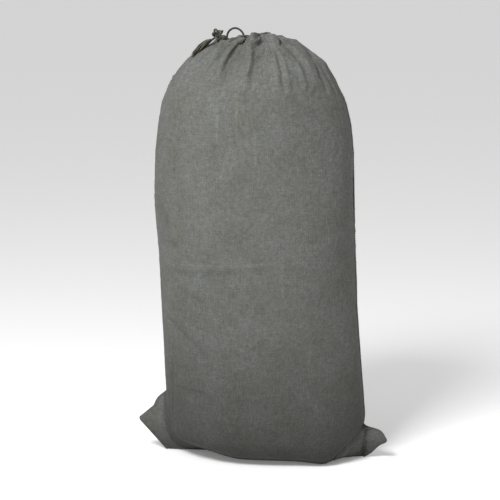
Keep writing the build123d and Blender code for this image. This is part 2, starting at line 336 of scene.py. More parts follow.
def cord(name, dark, pale):
    """Braided cotton cord: two sets of strands that cross, with painted shade in their gaps."""
    n = Nodes(name, 0.85, sheen=0.15)
    threads = n.threads()
    strands = []
    for lean in (BRAID_LEAN, -BRAID_LEAN):
        leaning = n.node("ShaderNodeMapping", "Vector", Vector=threads, Rotation=(0, 0, math.radians(lean)))
        strands.append(n.wave(leaning, 45, "X", 1.0))
    braid = n.math("MAXIMUM", *strands)
    fibre = n.noise(n.scaled(threads, 900, 5000), 1.0, 2.0)
    # The gaps between the strands are darkened with painted shade
    shade = n.math("MULTIPLY", n.span(braid, 0.3, 1.0, 0.45, 1.15), n.span(fibre, 0.3, 0.7, 0.8, 1.2))
    hue = n.mix(n.attribute("tone"), dark, pale)
    n.put(n.shader.inputs["Base Color"], n.brightness(hue, shade))
    n.put(n.shader.inputs["Roughness"], n.span(fibre, 0.3, 0.7, 0.78, 0.92))
    n.put(n.shader.inputs["Normal"], n.bump(n.math("ADD", braid, fibre), 0.0004, 0.8))
    return n.material


def frayed_yarn():
    """Loose cotton yarns, some dark olive and some faded to beige."""
    n = Nodes("frayed_yarn", 0.9, sheen=0.2)
    threads, where = n.threads(), n.where()
    ply = n.wave(n.scaled(threads, 1, 2.2), 160, "DIAGONAL", 1.5)
    fade = n.noise(where, 260, 3.0)
    hue = n.mix(n.attribute("tone"), YARN_DARK, YARN_FADED)
    shade = n.math("MULTIPLY", n.span(ply, 0.0, 1.0, 0.7, 1.15), n.span(fade, 0.3, 0.7, 0.75, 1.25))
    n.put(n.shader.inputs["Base Color"], n.brightness(hue, shade))
    n.put(n.shader.inputs["Normal"], n.bump(ply, 0.0002, 0.7))
    return n.material


def sewing_thread():
    """Two-ply olive sewing thread, a little darker than the cloth."""
    n = Nodes("sewing_thread", 0.75, sheen=0.1)
    threads, where = n.threads(), n.where()
    ply = n.wave(n.scaled(threads, 1, 1.6), 90, "DIAGONAL", 0.6)
    fade = n.noise(where, 90, 3.0)
    shade = n.math("MULTIPLY", n.span(ply, 0.0, 1.0, 0.8, 1.1), n.span(fade, 0.3, 0.7, 0.85, 1.15))
    n.put(n.shader.inputs["Base Color"], n.brightness(THREAD_OLIVE, shade))
    n.put(n.shader.inputs["Normal"], n.bump(ply, 0.0001, 0.6))
    return n.material


def pale_floor():
    """A smooth matt studio floor with the faintest grain."""
    n = Nodes("pale_floor", 0.8)
    grain = n.noise(n.where(), 60, 3.0)
    shade = n.span(grain, 0.3, 0.7, 0.99, 1.01)
    n.put(n.shader.inputs["Base Color"], n.brightness((0.93, 0.93, 0.93), shade))
    n.put(n.shader.inputs["Emission Color"], (1.0, 1.0, 1.0))
    n.put(n.shader.inputs["Emission Strength"], 0.14)
    return n.material


COTTON, THREAD, YARN = cotton(), sewing_thread(), frayed_yarn()
CORD = cord("dark_cord", CORD_DARK, CORD_PALE)


def link(name, data):
    """A new object in the scene."""
    obj = bpy.data.objects.new(name, data)
    scene.collection.objects.link(obj)
    return obj


def quads(count, width, closed=True):
    """The faces between rows of points; each row is a ring when closed."""
    faces = []
    for j in range(count - 1):
        for i in range(width if closed else width - 1):
            k = (i + 1) % width
            faces.append((j * width + i, j * width + k, (j + 1) * width + k, (j + 1) * width + i))
    return faces


def grid_mesh(name, rows, closed=True):
    """A mesh of rows of points; each row is a ring when closed."""
    mesh = bpy.data.meshes.new(name)
    mesh.from_pydata(rows.reshape(-1, 3).tolist(), [], quads(*rows.shape[:2], closed))
    mesh.update()
    mesh.polygons.foreach_set("use_smooth", [True] * len(mesh.polygons))
    return mesh


def lengths_along(points):
    """How far along a polyline each of its points is."""
    return np.concatenate([[0], np.cumsum(np.linalg.norm(np.diff(points, axis=0), axis=1))])


def picked(points, along, marks):
    """Points of a polyline at given places along it."""
    return np.stack([np.interp(marks, along, points[:, i]) for i in range(points.shape[1])], axis=1)


def smooth_rows(rows, steps, passes):
    """Rows resampled evenly along their profile in height and depth, and rounded."""
    lengths = np.hypot(np.diff(rows[:, 0]), np.diff(rows[:, 3]))
    along = np.concatenate([[0], np.cumsum(lengths)])
    dense = picked(rows, along, np.linspace(0, along[-1], steps * 8))
    for _ in range(passes):
        dense[1:-1] = (dense[:-2] + 2 * dense[1:-1] + dense[2:]) / 4
    return picked(dense, np.arange(len(dense)), np.linspace(0, len(dense) - 1, steps))


def even_points(points, count):
    """Points spaced evenly along a polyline."""
    along = lengths_along(points)
    return picked(points, along, np.linspace(0, along[-1], count))


def ear_width(side, outline, z, centre, a):
    """How far an ear's edge stands out of the sack's side at a height."""
    heights = [p[1] for p in outline]
    if z >= heights[-1]:
        return 0.0
    return max(0.0, side * (float(np.interp(z, heights, [p[0] for p in outline])) - centre) - a)


def half_section(z, centre, a, b, columns):
    """The front half of a section, from the left seam to the right one, ears included."""
    widths = [ear_width(side, outline, z, centre, a) for side, outline in ((-1, LEFT_EAR), (1, RIGHT_EAR))]
    turns = [EAR_TURN * min(1, width / FULL_EAR) for width in widths]
    angles = np.linspace(math.pi + turns[0], 2 * math.pi - turns[1], 160)
    points = [np.column_stack([centre + a * np.cos(angles), b * np.sin(angles)])]
    for side, width, turn in zip((-1, 1), widths, turns):
        if width <= 0.0005:
            continue
        near = np.array([centre + side * (a + 0.004 * min(1, width / FULL_EAR)), -0.002])
        end = np.array([centre + side * (a + width), -0.0008])
        foot = np.array([centre + side * a * math.cos(turn), -b * math.sin(turn)])
        t = np.linspace(0, 1, 30)[:, None]
        fin = (1 - t) ** 2 * end + 2 * t * (1 - t) * near + t**2 * foot
        if side < 0:
            points.insert(0, fin[:-1])
        else:
            points.append(fin[::-1][1:])
    return even_points(np.concatenate(points), columns + 1)


def slump(points):
    """The uneven way the load settles: fuller at the front right, lifted at the front left."""
    x, y, z = points[..., 0], points[..., 1], points[..., 2]
    low = np.clip(1 - z / 0.07, 0, 1) ** 2
    front = np.clip(-y / 0.03, 0, 1)
    y -= 0.034 * low * front * np.exp(-(((x - 0.130) / 0.045) ** 2))
    lift = np.clip(1 - z / 0.10, 0, 1) * front * np.exp(-(((x + 0.130) / 0.060) ** 2))
    z += 0.017 * lift
    bend = np.clip((x - 0.188) / 0.045, 0, 1) ** 2 * (z < 0.075)
    y -= 0.016 * bend
    return points


def perimeter(points):
    """Length round a closed ring of points."""
    return float(np.linalg.norm(points - np.roll(points, -1, axis=0), axis=1).sum())


def fold_depth(turn, share):
    """Depth of the folds at angles round the mouth; share is 0 where they fade and 1 at the mouth."""
    depth = np.zeros_like(turn)
    for mouth, low, weight, width, reach in VALLEYS:
        angle = low + (mouth - low) * share
        away = (turn - angle + 180) % 360 - 180
        weight = weight * min(1, max(0, share + reach)) ** 3
        depth += weight * np.exp(-np.abs(away / (width * (FOLD_ANGLE + FOLD_ANGLE * share))) ** 2.4)
    return np.minimum(depth, 1.3)


def bag_shape():
    """The bag's cloth as rows of points: as first laid out, and as cut."""
    columns = int(round(GIRTH / 2 / CELL))
    meridian = np.hypot(np.diff(SECTIONS[:, 0]), np.diff(SECTIONS[:, 3])).sum()
    rows = smooth_rows(SECTIONS, int(meridian / CELL) + 1, 40)
    turn = np.arange(2 * columns) / (2 * columns) * 360 - 90
    turns, heights = zip(*(RIM + [(RIM[0][0] + 360, RIM[0][1])]))
    rim = np.interp((turn + 110) % 360 - 110, turns, heights)
    start, cut = [], []
    straight = None
    for i, (z, centre, a, b) in enumerate(rows):
        front = half_section(z, centre, a, b, columns)
        ring = np.concatenate([front[:-1], (front[::-1] * (1, -1))[:-1]])
        if z <= SHOULDER:
            straight = ring
            cut.append(np.column_stack([ring, np.full(len(ring), z)]))
            start.append(cut[-1].copy())
            continue
        step = np.hypot(*(rows[i, [0, 3]] - rows[i - 1, [0, 3]]))
        share = np.clip((z - FOLDS_START) / (SECTIONS[-1, 0] - FOLDS_START), 0, 1)
        girth = perimeter(ring) * (1.004 + MOUTH_SLACK * share**3)
        level = np.full(len(ring), cut[-1][0, 2] + step)
        cut.append(np.column_stack([straight * girth / perimeter(straight), level]))
        normal = np.roll(ring, -1, axis=0) - np.roll(ring, 1, axis=0)
        normal = np.column_stack([normal[:, 1], -normal[:, 0]]) / np.linalg.norm(normal, axis=1)[:, None]
        depth = fold_depth(turn, share)
        shape = 0.75 - depth
        shape += 0.05 * np.sin(np.radians(turn) * 31 + 1.3) + 0.04 * np.sin(np.radians(turn) * 47)
        # The folds are made as deep as it takes to use up the girth
        low, high = 0.0, 0.05
        for _ in range(24):
            size = (low + high) / 2
            if perimeter(ring + normal * (size * shape)[:, None]) < girth * 0.995:
                low = size
            else:
                high = size
        near_rim = np.clip((z - 0.735) / 0.045, 0, 1)
        lift = (rim - SECTIONS[-1, 0] - RIM_ARCH * np.minimum(depth, 1)) * near_rim
        start.append(np.column_stack([ring + normal * (size * shape)[:, None], z + lift]))
    return slump(np.array(start)), slump(np.array(cut)), columns


def stuffing():
    """The load of laundry that holds the cloth out while it is simulated."""
    rows = smooth_rows(SECTIONS, 110, 40)
    turns = np.linspace(0, 2 * math.pi, 96, endpoint=False)
    inset = 0.0025
    rings = []
    for z, centre, a, b in rows:
        lump = 0.0016 * (np.sin(3 * turns + 9 * z + 1.0) * np.sin(14 * z + 0.6) + np.sin(5 * turns - 17 * z))
        x = centre + (a - inset + lump) * np.cos(turns)
        y = (b - inset + lump) * np.sin(turns)
        rings.append(np.column_stack([x, y, np.full(len(turns), z)]))
    obj = link("stuffing", grid_mesh("stuffing", slump(np.array(rings))))
    bm = bmesh.new()
    bm.from_mesh(obj.data)
    bmesh.ops.holes_fill(bm, edges=[e for e in bm.edges if e.is_boundary])
    bmesh.ops.triangulate(bm, faces=[f for f in bm.faces if len(f.verts) > 4])
    bmesh.ops.recalc_face_normals(bm, faces=bm.faces)
    bm.to_mesh(obj.data)
    bm.free()
    return obj


def collide(obj, friction):
    """An object that the cloth rests on."""
    obj.modifiers.new("collision", "COLLISION")
    obj.collision.thickness_outer = 0.0005
    obj.collision.thickness_inner = 0.01
    obj.collision.cloth_friction = friction
    obj.collision.damping = 0.3


SETTLE_FRAMES = 28  # after these the cloth is still
UNFOLDING = 60  # passes that smooth every fold away


def simulate_bag():
    """The cloth settled over its load by Blender's Cloth, as rows of points."""
    start, cut, columns = bag_shape()
    count, width = start.shape[:2]
    body = link("bag_cloth", grid_mesh("bag_cloth", start))
    body.shape_key_add(name="Basis")
    flat = body.shape_key_add(name="Cut")
    flat.data.foreach_set("co", (cut * (1.005, 1.005, 1.010)).ravel())
    pins = body.vertex_groups.new(name="pins")
    pinned = list(range(width)) + [j * width + i for j in range(count - 2, count) for i in range(width)]
    for column in (0, columns):
        pinned += [j * width + column for j in range(count) if start[j, column, 2] < 0.10]  # the ears
    pins.add(pinned, 1.0, "REPLACE")
    load = stuffing()
    collide(load, 8)
    cloth = body.modifiers.new("cloth", "CLOTH")
    s = cloth.settings
    s.quality = 5
    s.mass = 0.0012
    s.tension_stiffness = 12
    s.compression_stiffness = 8
    s.shear_stiffness = 4
    s.bending_stiffness = 0.02
    s.tension_damping = s.compression_damping = s.shear_damping = 8
    s.bending_damping = 0.4
    s.air_damping = 3
    s.vertex_group_mass = "pins"
    s.pin_stiffness = 1.0
    s.rest_shape_key = flat
    cloth.collision_settings.distance_min = 0.0012
    cloth.collision_settings.collision_quality = 2
    cloth.point_cache.frame_start, cloth.point_cache.frame_end = 1, SETTLE_FRAMES
    for f in range(1, SETTLE_FRAMES + 1):
        scene.frame_set(f)
    done = np.zeros(count * width * 3)
    body.evaluated_get(bpy.context.evaluated_depsgraph_get()).data.vertices.foreach_get("co", done)
    scene.frame_set(1)
    for obj in (body, load):
        bpy.data.objects.remove(obj)
    return done.reshape(count, width, 3), columns


settled, columns = simulate_bag()


def finer(rows, axis, closed):
    """Rows of points with a new one between each pair, on a smooth curve."""
    rows = np.moveaxis(rows, axis, 0)
    if closed:
        a, b, c, d = np.roll(rows, 1, axis=0), rows, np.roll(rows, -1, axis=0), np.roll(rows, -2, axis=0)
    else:
        padded = np.concatenate([2 * rows[:1] - rows[1:2], rows, 2 * rows[-1:] - rows[-2:-1]])
        a, b, c, d = padded[:-3], padded[1:-2], padded[2:-1], padded[3:]
    between = (-a + 9 * b + 9 * c - d) / 16
    out = np.empty((len(rows) + len(between), *rows.shape[1:]))
    out[0::2][: len(rows)] = rows
    out[1::2][: len(between)] = between
    return np.moveaxis(out, 0, axis)


def grid_normals(rows):
    """Outward normals of rows of rings."""
    along = np.roll(rows, -1, axis=1) - np.roll(rows, 1, axis=1)
    up = np.gradient(rows, axis=0)
    normal = np.cross(along, up)
    return normal / np.maximum(np.linalg.norm(normal, axis=2, keepdims=True), 1e-12)


def smoothed(rows, passes):
    """Rows of rings with their folds smoothed away."""
    for _ in range(passes):
        rows = (np.roll(rows, 1, axis=1) + 2 * rows + np.roll(rows, -1, axis=1)) / 4
        rows[1:-1] = (rows[:-2] + 2 * rows[1:-1] + rows[2:]) / 4
    return rows


def line_share(x, z, one, two):
    """Distance from a line between two points in X and Z, and how far along it, 0 to 1."""
    dx, dz = two[0] - one[0], two[1] - one[1]
    along = ((x - one[0]) * dx + (z - one[1]) * dz) / (dx * dx + dz * dz)
    away = np.abs((x - one[0]) * dz - (z - one[1]) * dx) / math.hypot(dx, dz)
    return away, along


def add_creases(rows):
    """Folds and packing creases on the front, and small puckers along both side seams.

    Returns the rows, how worn (above 0) or darkened by painted shade in grooves (below 0) they are, and
    their share of painted light on the ears.
    """
    x, z = rows[..., 0], rows[..., 2]
    # Where the cloth is gathered its own normals would push one fold into the next
    smooth = grid_normals(smoothed(rows, UNFOLDING))
    normal = np.where(z[..., None] > SHOULDER, smooth, grid_normals(rows))
    front = np.zeros(rows.shape[1])
    front[: 2 * columns] = 1
    raised, wear_and_painted_shade, painted_groove_shade = np.zeros(x.shape), np.zeros(x.shape), np.zeros(x.shape)
    for one, two, height, width in CREASES:
        away, along = line_share(x, z, one, two)
        ends = np.clip(np.minimum(along + 0.08, 1.08 - along) / 0.25, 0, 1)
        ridge = np.exp(-((away / width) ** 2)) * ends * front
        raised += height * ridge
        if height < 0:
            painted_groove_shade += ridge
        elif width < SHARP:
            wear_and_painted_shade += ridge
    share = (z - FOLDS_START) / (SECTIONS[-1, 0] - FOLDS_START)
    turn = np.arange(rows.shape[1]) / rows.shape[1] * 360 - 90
    half_width = np.interp(z, SECTIONS[:, 0], SECTIONS[:, 2])
    for mouth, low, depth, width, middle, reach in FURROWS:
        away = np.radians(turn - low - (mouth - low) * share) * half_width
        furrow = np.exp(-((away / width) ** 2) - ((share - middle) / reach) ** 2) * front
        raised -= depth * furrow
        painted_groove_shade += FURROW_SHADE * max(0, depth - SHADED_DEPTH) * furrow
    body = np.clip((z - 0.12) / 0.03, 0, 1) * np.clip((0.70 - z) / 0.05, 0, 1)
    column = np.arange(rows.shape[1])
    for seam in (0, 2 * columns):
        away = np.minimum(np.abs(column - seam), rows.shape[1] - np.abs(column - seam)) * FINE_CELL
        pull = np.exp(-((away / 0.016) ** 2)) - np.exp(-((away / 0.004) ** 2))
        wave = np.sin(z * 260 + 2 * np.sin(z * 41)) + 0.6 * np.sin(z * 430 + 1)
        raised += 0.00045 * pull[None, :] * wave * body
    # The ears, and the cloth that they pull flat at the front right corner, get painted light to make them
    # paler
    outside = np.abs(x - np.interp(z, SECTIONS[:, 0], SECTIONS[:, 1])) - half_width
    ear = np.clip((outside - 0.002) / 0.006, 0, 1) * (z < EAR_TOP)
    painted_corner_light = np.clip((x - 0.1300 - z) / 0.004, 0, 1) * np.clip((0.060 - z) / 0.006, 0, 1) * front
    # Grooves and deep furrows get painted shade, stored as wear below 0
    wear_and_painted_shade -= 0.6 * np.minimum(painted_groove_shade, 1)
    return rows + normal * raised[..., None], wear_and_painted_shade, np.maximum(ear, 0.7 * painted_corner_light)


fine, wear_and_painted_shade, painted_ear_lights = add_creases(finer(finer(settled, 1, True), 0, False))
RING = fine.shape[1]
HALF = RING // 2


def floor_rows(ring):
    """The cloth under the bag, from the bottom seam out to the first ring."""
    shares = np.linspace(0, 1, BASE_ROWS, endpoint=False)[:, None, None]
    rows = np.repeat(ring[None], BASE_ROWS, axis=0) * (1, 0, 1) + shares * ring * (0, 1, 0)
    rows[..., 2] = ring[:, 2] * shares[..., 0] + FLOOR_GAP * (1 - shares[..., 0])
    return rows


base = floor_rows(fine[0])
skin = np.concatenate([base, fine])
skin[..., 2] = np.maximum(skin[..., 2], FLOOR_GAP)
wear_and_painted_shade = np.concatenate([np.zeros(base.shape[:2]), wear_and_painted_shade])
painted_ear_lights = np.concatenate([np.zeros(base.shape[:2]), painted_ear_lights])


def add_threads_map(obj, rows):
    """A UV map in metres of cloth, so that the weave follows the threads."""
    count, width = rows.shape[:2]
    u = np.arange(width) * FINE_CELL
    v = np.arange(count) * FINE_CELL
    layer = obj.data.uv_layers.new(name="threads")
    corners = np.zeros(len(obj.data.loops), dtype=np.int32)
    obj.data.loops.foreach_get("vertex_index", corners)
    layer.data.foreach_set("uv", np.column_stack([u[corners % width], v[corners // width]]).ravel())


def add_values(obj, name, values):
    """A number for each point, for the materials to read."""
    layer = obj.data.attributes.new(name, "FLOAT", "POINT")
    layer.data.foreach_set("value", values.ravel().astype(np.float32))


def thicken(obj, thickness):
    """Cloth of some thickness, inwards from its outer face."""
    solid = obj.modifiers.new("thickness", "SOLIDIFY")
    solid.thickness, solid.offset = thickness, -1


def cloth_piece(name, rows, wear_and_shade, ear, slot, material, *nodes):
    """A piece of the bag's cotton, with its wear, its painted groove shade and its share of painted ear
    light at each point.
    """
    obj = link(name, grid_mesh(name, rows, closed=False))
    add_threads_map(obj, rows)
    add_values(obj, "wear_and_painted_shade", wear_and_shade)
    add_values(obj, "ear", ear)
    thicken(obj, CLOTH)
    finish_piece(obj, "bag", slot, material, *nodes)
    return obj


def finish_piece(obj, body, slot, material, *nodes):
    """Body, material and replaced CAD nodes of a piece; the slot is not used."""
    obj.data.materials.append(material)
    if body:
        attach(obj, body)
    if nodes:
        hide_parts(*nodes)


def roll_over(rows):
    """The rows that turn the cloth over at the rim, in a soft round fold."""
    normal = grid_normals(rows)[-1]
    up = rows[-1] - rows[-2]
    up /= np.linalg.norm(up, axis=1, keepdims=True)
    over = []
    for angle in np.linspace(0, math.pi, 8)[1:]:
        over.append(rows[-1] - normal * LIP * (1 - math.cos(angle)) + up * LIP * math.sin(angle))
    return np.concatenate([rows, np.array(over)])


MOUTH_ROWS = 40  # rows of cloth near the mouth that the hem and its cord lie under


def keep_under(points, margin):
    """Points moved to lie at least a margin under the cloth round the mouth."""
    top = skin[-MOUTH_ROWS:]
    tree = BVHTree.FromPolygons([tuple(p) for p in top.reshape(-1, 3)], quads(*top.shape[:2]))
    moved = points.reshape(-1, 3).copy()
    for _ in range(3):
        for k, p in enumerate(moved):
            near, normal, _, _ = tree.find_nearest(Vector(p))
            if (Vector(p) - near).dot(normal) > -margin:
                moved[k] = near - normal * (margin + 0.0001)
    return moved.reshape(points.shape)


def hem_rows(rows):
    """The turned-over hem inside the mouth, down to its stitching."""
    normal = grid_normals(rows)
    count = int(HEM / FINE_CELL)
    made = []
    for j in range(0, count + 2):
        share = min(1, j / count)
        depth = 2 * LIP + 0.0003 - (2 * LIP - CLOTH - 0.0007) * share**3
        made.append(rows[-1 - j] - normal[-1 - j] * depth)
    made = np.array(made)[::-1]
    made[:-2] = keep_under(made[:-2], CLOTH + 0.0004)
    return made


front_columns = np.arange(0, HALF + 1)
back_columns = np.arange(HALF, RING + 1) % RING
rolled = roll_over(skin)
rolled_wear_and_painted_shade = np.concatenate([wear_and_painted_shade, np.full((len(rolled) - len(skin), RING), 0.3)])
rolled_painted_ear_light = np.concatenate([painted_ear_lights, np.zeros((len(rolled) - len(skin), RING))])
front_cloth = cloth_piece("front_panel_cloth", rolled[:, front_columns], rolled_wear_and_painted_shade[:, front_columns],
                          rolled_painted_ear_light[:, front_columns], "cloth", COTTON, "front_panel")
back_cloth = cloth_piece("back_panel_cloth", rolled[:, back_columns], rolled_wear_and_painted_shade[:, back_columns],
                         rolled_painted_ear_light[:, back_columns], "cloth", COTTON, "back_panel")

hem = hem_rows(skin)
for side, pick in (("front", front_columns), ("back", back_columns)):
    band = hem[:, pick]
    cloth_piece(f"{side}_casing_hem", band, np.full(band.shape[:2], 0.25), np.zeros(band.shape[:2]),
                "cloth", COTTON, f"{side}_casing")


def tube(path, radius, sides=12, tone=0.0):
    """A closed tube along points: its points, faces, and map of length and way round."""
    path = np.array(path, float)
    tangent = np.gradient(path, axis=0)
    tangent /= np.linalg.norm(tangent, axis=1)[:, None]
    guide = np.array((0.0, 0.0, 1.0)) if abs(tangent[0, 2]) < 0.9 else np.array((1.0, 0.0, 0.0))
    radii = np.broadcast_to(radius, len(path))
    angles = np.linspace(0, 2 * math.pi, sides, endpoint=False)
    rings, normal = [], None
    for p, t, r in zip(path, tangent, radii):
        side = np.cross(t, guide) if normal is None else normal - t * (normal @ t)
        normal = side / np.linalg.norm(side)
        other = np.cross(t, normal)
        rings.append(p + r * (np.cos(angles)[:, None] * normal + np.sin(angles)[:, None] * other))
    faces = quads(len(path), sides)
    faces.append(list(range(sides))[::-1])
    faces.append(list(range((len(path) - 1) * sides, len(path) * sides)))
    mapped = np.column_stack([np.repeat(lengths_along(path), sides),
                              np.tile(angles, len(path)) * float(np.mean(radii))])
    return np.concatenate(rings), faces, mapped, np.full(len(path) * sides, tone)


def build(name, tubes):
    """One object from several tubes."""
    points, faces, maps, tones = [], [], [], []
    first = 0
    for where, around, mapped, tone in tubes:
        points.append(where)
        faces += [[v + first for v in face] for face in around]
        maps.append(mapped)
        tones.append(tone)
        first += len(where)
    mesh = bpy.data.meshes.new(name)
    mesh.from_pydata(np.concatenate(points).tolist(), [], faces)
    mesh.polygons.foreach_set("use_smooth", [True] * len(mesh.polygons))
    corners = np.zeros(len(mesh.loops), dtype=np.int32)
    mesh.loops.foreach_get("vertex_index", corners)
    mesh.uv_layers.new(name="threads").data.foreach_set("uv", np.concatenate(maps)[corners].ravel())
    obj = link(name, mesh)
    add_values(obj, "tone", np.concatenate(tones))
    return obj


FELL_PROFILE = ((-1.0, -0.3), (-0.85, 0.7), (-0.3, 1.0), (0.3, 1.0), (0.85, 0.7), (1.0, -0.3))


def ribbon(path, across, out, half_width, height):
    """A low raised strip along a path, as rows of points."""
    rows = []
    for p, t, n, w, h in zip(path, across, out, half_width, height):
        rows.append([p + t * w * s + n * h * u for s, u in FELL_PROFILE])
    return np.array(rows)


STITCH_LIFT = np.array([[-0.0001], [0.00035], [0.00035], [-0.0001]])  # from the cloth, end to end


def stitches(path, out, length=0.0030, gap=0.0014, radius=0.00030):
    """Short rounded stitches along a path on the cloth."""
    along = lengths_along(path)
    made = []
    for first in np.arange(0, along[-1] - length, length + gap):
        marks = np.linspace(first, first + length, 4)
        line = picked(path, along, marks) + picked(out, along, marks) * STITCH_LIFT
        line[:, 2] = np.maximum(line[:, 2], 3 * radius)  # clear of the floor
        made.append(tube(line, np.array([0.6, 1, 1, 0.6]) * radius, 5))
    return made


skin_normal = grid_normals(skin)
ABOVE_EAR = {-1: 0.118, 1: 0.064}  # height where the felled seam is wide again, by side


def seam_strip(name, side, first, last, node):
    """A felled seam: a raised strip on the edge, narrow round the ear."""
    column = 0 if side < 0 else HALF
    ahead, behind = (column + 1) % RING, (column - 1) % RING
    path = skin[first:last, column]
    across = skin[first:last, ahead] - skin[first:last, behind]
    across /= np.maximum(np.linalg.norm(across, axis=1, keepdims=True), 1e-9)
    out = np.cross(across, np.gradient(path, axis=0))
    out /= np.linalg.norm(out, axis=1, keepdims=True)
    on_body = np.clip((path[:, 2] - ABOVE_EAR[side]) / 0.02, 0, 1)
    width = 0.0013 + 0.0030 * on_body
    rows = ribbon(path + out * 0.0002, across, out, width, 0.0006 + 0.0003 * on_body)
    rows[..., 2] = np.maximum(rows[..., 2], FLOOR_GAP)
    strip = link(name, grid_mesh(name, rows, closed=False))
    add_threads_map(strip, rows)
    add_values(strip, "wear_and_painted_shade", np.full(rows.shape[:2], 0.4))
    # Where the seam runs past the ears it gets half of their painted light
    add_values(strip, "ear", np.full(rows.shape[:2], 0.5) * (rows[..., 2] < EAR_TOP))
    thicken(strip, 0.0006)
    finish_piece(strip, "bag", "seam_cloth", COTTON, node)


def seam_stitching(name, side, first, last):
    """The two lines of stitches beside a felled seam."""
    column = 0 if side < 0 else HALF
    made = []
    for offset in (-2, 2):
        pick = (column + offset) % RING
        out = skin_normal[first:last, pick]
        made += stitches(skin[first:last, pick] + out * 0.0001, out)
    finish_piece(build(name, made), "bag", "thread", THREAD)


for side, word, column in ((-1, "left", 0), (1, "right", HALF)):
    tip = BASE_ROWS + int(np.argmax(np.abs(fine[:, column, 0]) * (fine[:, column, 2] < EAR_TOP)))
    seam_strip(f"{word}_seam_fell", side, tip, len(skin), f"{word}_side_seam")
    seam_stitching(f"{word}_seam_stitching", side, tip, len(skin))
    seam_strip(f"{word}_corner_fell", side, BASE_ROWS, tip + 1, "bottom_seam")
    seam_stitching(f"{word}_corner_stitching", side, BASE_ROWS, tip + 1)

hem_row = len(skin) - 1 - int(HEM / FINE_CELL)
ring_path = np.concatenate([skin[hem_row], skin[hem_row, :1]])
ring_out = np.concatenate([skin_normal[hem_row], skin_normal[hem_row, :1]])
hem_line = build("hem_stitch_line", stitches(ring_path + ring_out * 0.0001, ring_out))
finish_piece(hem_line, "bag", "thread", THREAD, "hem_stitching")


def route(points):
    """Points along the smooth NURBS line of a cord's route."""
    curve = bpy.data.curves.new("route", "CURVE")
    curve.dimensions = "3D"
    spline = curve.splines.new("NURBS")
    spline.points.add(len(points) - 1)
    for p, co in zip(spline.points, points):
        p.co = (*co, 1)
    spline.order_u = 3
    spline.use_endpoint_u = True
    spline.resolution_u = 8
    obj = link("route", curve)
    mesh = bpy.data.meshes.new_from_object(obj.evaluated_get(bpy.context.evaluated_depsgraph_get()))
    path = np.array([v.co[:] for v in mesh.vertices])
    bpy.data.objects.remove(obj)
    return path


# The drawcord's loop: out of one buttonhole and back into the other
CORD_RADIUS = 0.0018
FEET = ((-0.0280, -0.0510), (-0.0635, -0.0250))  # the buttonholes in X and Y
PIVOT_HEIGHT = 0.7768  # the loop leans about a line through the buttonholes
LEG_TOP, LEG_FOOT = 0.751, 0.726  # the cord inside the bag that slides out with the loop
(fx, fy), (gx, gy) = FEET
SPAN = math.hypot(gx - fx, gy - fy)
ALONG = ((gx - fx) / SPAN, (gy - fy) / SPAN)
# The loop's bow: the distance from the first foot towards the second, and the height
LOOP_BOW = [(0.0, 0.0), (0.0018, 0.0078), (0.0100, 0.0150), (0.0225, 0.0182), (0.0345, 0.0148),
            (0.0424, 0.0076), (SPAN, 0.0)]
loop_route = [(fx, fy, LEG_FOOT), (fx, fy, LEG_TOP)]
loop_route += [(fx + s * ALONG[0], fy + s * ALONG[1], PIVOT_HEIGHT + h) for s, h in LOOP_BOW]
loop_route += [(gx, gy, LEG_TOP), (gx, gy, LEG_FOOT)]
loop_path = route(loop_route)
loop = build("drawcord_loop_cord", [tube(loop_path, CORD_RADIUS, 16)])
finish_piece(loop, None, "cord", CORD, "drawcord_loop", "drawcord_legs")
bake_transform(loop)

# The cord inside the casing follows the cloth's folds, between the panel and its turned-over hem
CASING_CORD_RADIUS = 0.0009  # the hidden cord, drawn thin so that it stays inside the pleats
channel = len(skin) - 4
run = keep_under(skin[channel] - skin_normal[channel] * (LIP + 0.0004), CLOTH + 0.0012)
hidden = build("drawcord_in_casing", [tube(np.concatenate([run, run[:2]]), CASING_CORD_RADIUS, 6)])
finish_piece(hidden, "bag", "cord", CORD, "drawcord")

# The knot: both cords tied in one overhand knot and pulled tight
KNOT = np.array((-0.0805, -0.0250, 0.7808))
KNOT_LEAN = math.radians(20)
turns = np.linspace(0, 2 * math.pi, 100)
knot_parts = []
for shift, tone in ((-1, 0.1), (1, 0.5)):
    shape = np.column_stack([
        np.sin(turns) + 2 * np.sin(2 * turns),
        -1.1 * np.sin(3 * turns) + 0.75 * shift * np.cos(3 * turns + 0.6),
        np.cos(turns) - 2 * np.cos(2 * turns),
    ]) * (0.00255 + 0.00025 * shift)
    cos, sin = math.cos(KNOT_LEAN), math.sin(KNOT_LEAN)
    shape = shape @ np.array([[cos, 0, sin], [0, 1, 0], [-sin, 0, cos]])
    knot_parts.append(tube(KNOT + shape, CORD_RADIUS * 1.15, 12, tone))
# The cords that lead into and out of it, each with how pale it is
KNOT_LEADS = (
    (0.2, [(gx, gy, 0.7760), (-0.0660, -0.0275, 0.7790), (-0.0710, -0.0300, 0.7795),
           (-0.0765, -0.0290, 0.7790)]),
    (0.4, [(-0.0610, -0.0290, 0.7740), (-0.0655, -0.0310, 0.7770), (-0.0705, -0.0320, 0.7775),
           (-0.0760, -0.0300, 0.7770)]),
    (0.45, [(-0.0860, -0.0230, 0.7850), (-0.0870, -0.0240, 0.7890), (-0.0845, -0.0250, 0.7912),
            (-0.0815, -0.0250, 0.7895), (-0.0800, -0.0240, 0.7850)]),
    (0.5, [(-0.0740, -0.0220, 0.7830), (-0.0725, -0.0225, 0.7865), (-0.0718, -0.0230, 0.7890)]),
    (0.2, [(-0.0840, -0.0270, 0.7770), (-0.0870, -0.0265, 0.7745), (-0.0889, -0.0255, 0.7732)]),
)
knot_parts += [tube(route(lead), CORD_RADIUS, 12, tone) for tone, lead in KNOT_LEADS]
finish_piece(build("drawcord_knot", knot_parts), "bag", "cord", CORD, "knot")

